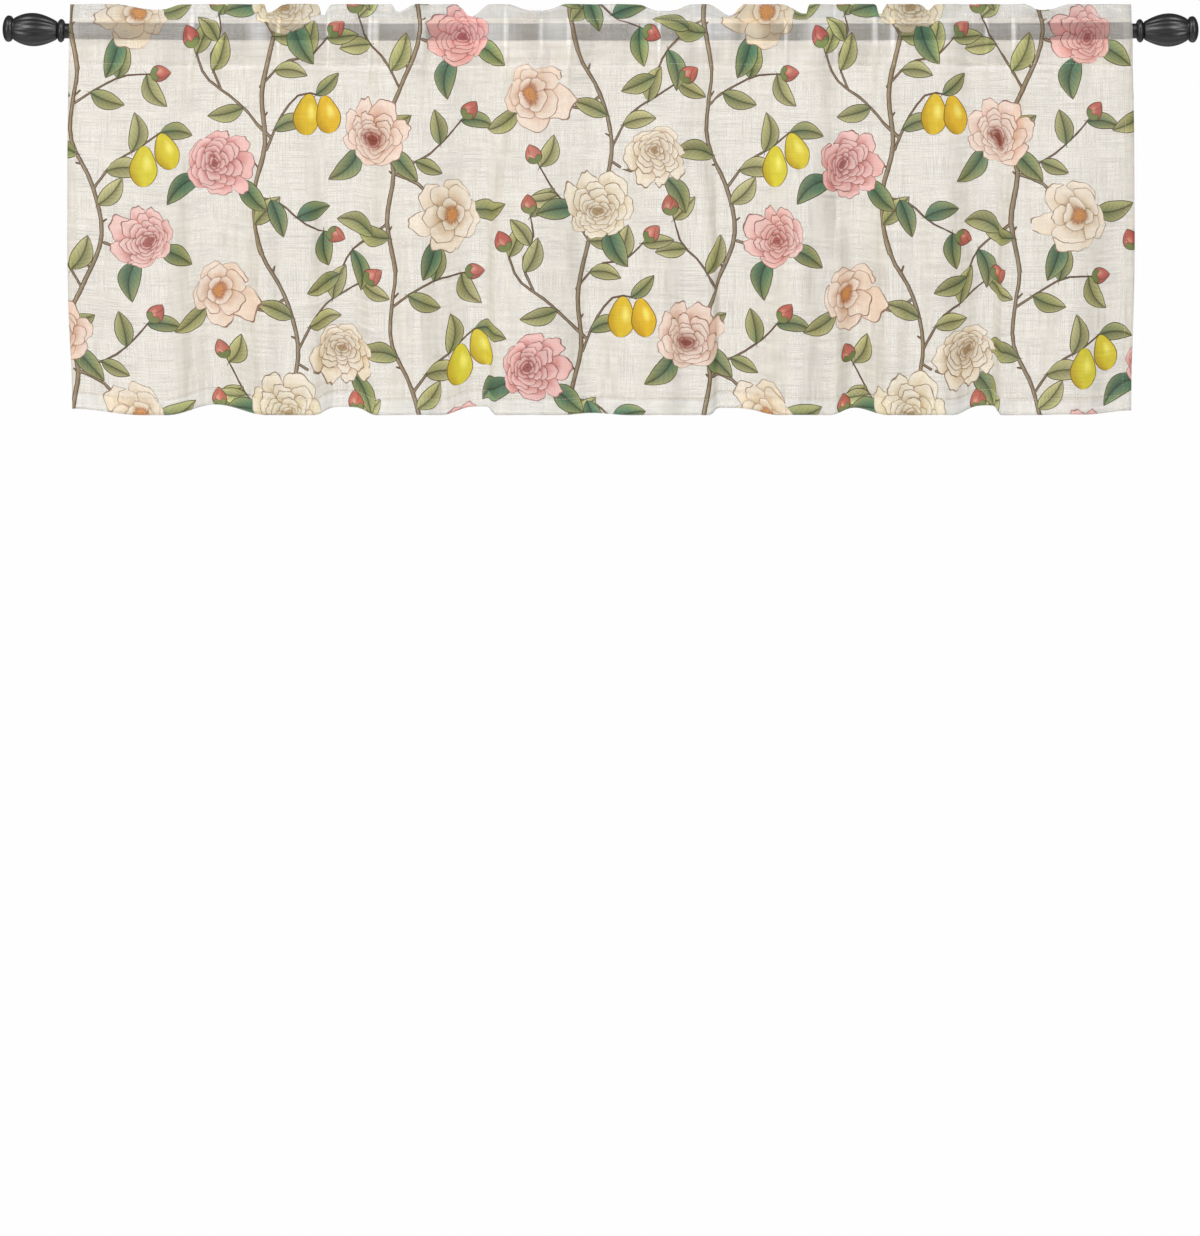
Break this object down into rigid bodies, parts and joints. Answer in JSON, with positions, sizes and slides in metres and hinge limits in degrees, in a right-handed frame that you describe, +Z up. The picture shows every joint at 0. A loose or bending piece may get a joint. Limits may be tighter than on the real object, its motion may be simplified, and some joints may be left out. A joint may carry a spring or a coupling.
{
  "type": "window valance on a curtain rod",
  "caption": "Short printed sheer cloth valance with a heading ruffle and rod pocket, gathered on a round rod with fluted end pieces.",
  "frame": {"origin": "on the rod's axis, half way along the rod", "axes": "+X along the rod to the viewer's right, +Z up, -Y towards the viewer"},
  "size_m": [1.3315, 0.0372, 0.4591],
  "materials": {
    "printed_cloth": "semi-sheer linen-look cloth, matte, printed with a floral trail",
    "black_metal": "satin black"
  },
  "bodies": {
    "root": {"valance_panel": "printed_cloth", "rod": "black_metal", "finial_left": "black_metal", "finial_right": "black_metal"}
  },
  "joints": []
}
